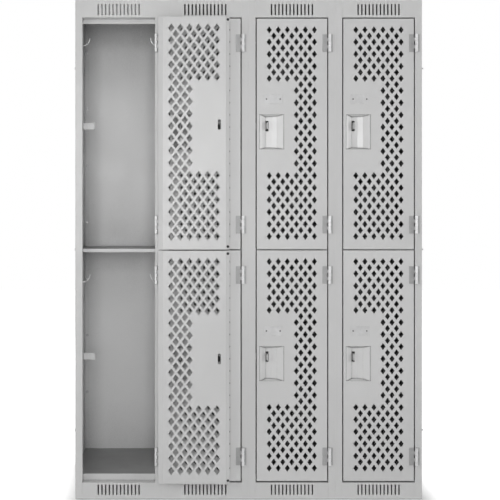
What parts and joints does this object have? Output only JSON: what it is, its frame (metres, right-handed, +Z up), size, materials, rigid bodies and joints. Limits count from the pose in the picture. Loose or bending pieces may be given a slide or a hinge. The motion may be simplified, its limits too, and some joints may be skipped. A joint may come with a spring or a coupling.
{
  "type": "locker cabinet",
  "caption": "Bank of two-tier ventilated steel lockers with perforated hinged doors, recessed finger pulls, padlock strikes, shelves and coat hooks.",
  "frame": {"origin": "on the floor at the middle of the carcass's footprint", "axes": "+X to the right seen from the front, +Y to the back, +Z up; the closed doors face -Y"},
  "size_m": [1.2811, 0.421, 1.8288],
  "materials": {
    "grey_paint": "semi-gloss powder coat",
    "number_plate_metal": "satin",
    "zinc": "zinc plated"
  },
  "bodies": {
    "cabinet": {"latch_side_jambs": "grey_paint", "hinge_side_jambs": "grey_paint", "header_rails": "grey_paint", "sill_rails": "grey_paint", "left_outer_side_panel": "grey_paint", "partition_1": "grey_paint", "partition_2": "grey_paint", "partition_3": "grey_paint", "right_outer_side_panel": "grey_paint", "back_panels": "grey_paint", "top_panels": "grey_paint", "floor_panels": "grey_paint", "shelves": "grey_paint", "fixed_hinge_leaves": "zinc", "hinge_pins": "zinc", "padlock_strikes": "grey_paint", "coat_hooks": "zinc", "back_panel_bolts": "zinc", "ganging_bolts": "zinc", "nuts": "zinc"},
    "bay_1_upper_door": {"bay_1_upper_door_panel": "grey_paint", "bay_1_upper_finger_pull": "grey_paint", "bay_1_upper_inner_panel": "grey_paint", "bay_1_upper_number_plate": "number_plate_metal", "bay_1_upper_hinge_leaves": "zinc"},
    "bay_1_lower_door": {"bay_1_lower_door_panel": "grey_paint", "bay_1_lower_finger_pull": "grey_paint", "bay_1_lower_inner_panel": "grey_paint", "bay_1_lower_number_plate": "number_plate_metal", "bay_1_lower_hinge_leaves": "zinc"},
    "bay_2_upper_door": {"bay_2_upper_door_panel": "grey_paint", "bay_2_upper_finger_pull": "grey_paint", "bay_2_upper_inner_panel": "grey_paint", "bay_2_upper_number_plate": "number_plate_metal", "bay_2_upper_hinge_leaves": "zinc"},
    "bay_2_lower_door": {"bay_2_lower_door_panel": "grey_paint", "bay_2_lower_finger_pull": "grey_paint", "bay_2_lower_inner_panel": "grey_paint", "bay_2_lower_number_plate": "number_plate_metal", "bay_2_lower_hinge_leaves": "zinc"},
    "bay_3_upper_door": {"bay_3_upper_door_panel": "grey_paint", "bay_3_upper_finger_pull": "grey_paint", "bay_3_upper_inner_panel": "grey_paint", "bay_3_upper_number_plate": "number_plate_metal", "bay_3_upper_hinge_leaves": "zinc"},
    "bay_3_lower_door": {"bay_3_lower_door_panel": "grey_paint", "bay_3_lower_finger_pull": "grey_paint", "bay_3_lower_inner_panel": "grey_paint", "bay_3_lower_number_plate": "number_plate_metal", "bay_3_lower_hinge_leaves": "zinc"},
    "bay_4_upper_door": {"bay_4_upper_door_panel": "grey_paint", "bay_4_upper_finger_pull": "grey_paint", "bay_4_upper_inner_panel": "grey_paint", "bay_4_upper_number_plate": "number_plate_metal", "bay_4_upper_hinge_leaves": "zinc"},
    "bay_4_lower_door": {"bay_4_lower_door_panel": "grey_paint", "bay_4_lower_finger_pull": "grey_paint", "bay_4_lower_inner_panel": "grey_paint", "bay_4_lower_number_plate": "number_plate_metal", "bay_4_lower_hinge_leaves": "zinc"}
  },
  "joints": [
    {"name": "bay_1_upper_door_hinge", "type": "hinge", "parent": "cabinet", "child": "bay_1_upper_door", "pos_m": [-0.3389, -0.1965, 0.9155], "axis": [0, 0, 1], "range_deg": [-180, 0]},
    {"name": "bay_1_lower_door_hinge", "type": "hinge", "parent": "cabinet", "child": "bay_1_lower_door", "pos_m": [-0.3389, -0.1965, 0.066], "axis": [0, 0, 1], "range_deg": [-180, 0]},
    {"name": "bay_2_upper_door_hinge", "type": "hinge", "parent": "cabinet", "child": "bay_2_upper_door", "pos_m": [-0.0214, -0.1965, 0.9155], "axis": [0, 0, 1], "range_deg": [0, 2]},
    {"name": "bay_2_lower_door_hinge", "type": "hinge", "parent": "cabinet", "child": "bay_2_lower_door", "pos_m": [-0.0214, -0.1965, 0.066], "axis": [0, 0, 1], "range_deg": [0, 2]},
    {"name": "bay_3_upper_door_hinge", "type": "hinge", "parent": "cabinet", "child": "bay_3_upper_door", "pos_m": [0.2961, -0.1965, 0.9155], "axis": [0, 0, 1], "range_deg": [0, 180]},
    {"name": "bay_3_lower_door_hinge", "type": "hinge", "parent": "cabinet", "child": "bay_3_lower_door", "pos_m": [0.2961, -0.1965, 0.066], "axis": [0, 0, 1], "range_deg": [0, 180]},
    {"name": "bay_4_upper_door_hinge", "type": "hinge", "parent": "cabinet", "child": "bay_4_upper_door", "pos_m": [0.6136, -0.1965, 0.9155], "axis": [0, 0, 1], "range_deg": [0, 180]},
    {"name": "bay_4_lower_door_hinge", "type": "hinge", "parent": "cabinet", "child": "bay_4_lower_door", "pos_m": [0.6136, -0.1965, 0.066], "axis": [0, 0, 1], "range_deg": [0, 180]}
  ]
}
